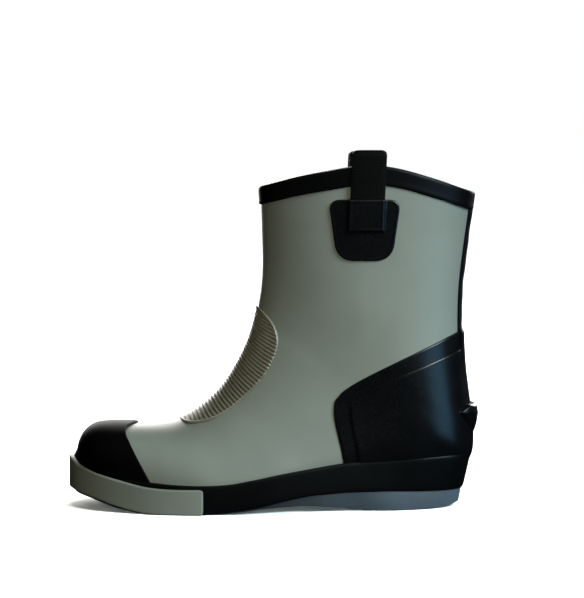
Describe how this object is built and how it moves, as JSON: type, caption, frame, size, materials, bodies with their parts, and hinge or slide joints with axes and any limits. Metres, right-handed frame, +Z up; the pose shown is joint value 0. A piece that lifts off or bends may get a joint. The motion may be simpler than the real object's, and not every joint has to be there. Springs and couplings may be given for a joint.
{
  "type": "deck boot",
  "caption": "Ankle-high pull-on rubber deck boot with ribbed instep, toe cap, heel counter, bound collar and webbing pull loops over the rim at both sides.",
  "frame": {"origin": "centre of the outer bounds in plan, at the walking face", "axes": "+Z up, -X towards the toe, +X towards the heel, -Y the outer (lateral) side of this left boot"},
  "size_m": [0.3062, 0.116, 0.2643],
  "materials": {
    "rubber_grey": "satin moulded rubber, stone grey",
    "rubber_black": "satin moulded rubber, black",
    "sole_blue_grey": "matt rubber, blue grey",
    "knit_lining": "brushed knit, charcoal",
    "webbing": "woven webbing, black",
    "fibre_board": "pressed fibre sheet, buff",
    "foam": "closed-cell foam, dark grey"
  },
  "bodies": {
    "boot": {"rubber_upper": "rubber_grey", "instep_rib_panel": "rubber_grey", "toe_bumper": "rubber_grey", "toe_cap": "rubber_black", "heel_counter": "rubber_black", "heel_guard_lateral": "rubber_black", "heel_guard_medial": "rubber_black", "back_strip": "rubber_black", "heel_kick_lug": "rubber_black", "collar_binding": "rubber_black", "foxing_band": "rubber_black", "pull_patch_lateral": "rubber_black", "pull_patch_medial": "rubber_black", "outsole": "sole_blue_grey", "lining_foot": "knit_lining", "lining_shaft": "knit_lining", "toe_puff": "fibre_board", "counter_stiffener": "fibre_board", "insole_board": "fibre_board", "midsole_filler": "foam", "heel_wedge": "foam", "strap_outer_leg_lateral": "webbing", "strap_outer_leg_medial": "webbing", "strap_inner_leg_lateral": "webbing", "strap_inner_leg_medial": "webbing"},
    "loop_lateral": {"pull_loop_lateral": "webbing"},
    "loop_medial": {"pull_loop_medial": "webbing"},
    "footbed": {"footbed_foam": "foam", "footbed_cover": "knit_lining"}
  },
  "joints": [
    {"name": "pull_loop_lateral_swing", "type": "hinge", "parent": "boot", "child": "loop_lateral", "pos_m": [0.0672, -0.04015, 0.2517], "axis": [1, 0, 0], "range_deg": [-30, 30], "stiffness_Nm_per_rad": 0.005},
    {"name": "pull_loop_medial_swing", "type": "hinge", "parent": "boot", "child": "loop_medial", "pos_m": [0.0672, 0.04455, 0.2517], "axis": [1, 0, 0], "range_deg": [-30, 30], "stiffness_Nm_per_rad": 0.005},
    {"name": "footbed_lift", "type": "hinge", "parent": "boot", "child": "footbed", "pos_m": [-0.1416, 0.0072, 0.0254], "axis": [0, -1, 0], "range_deg": [0, 6]}
  ]
}
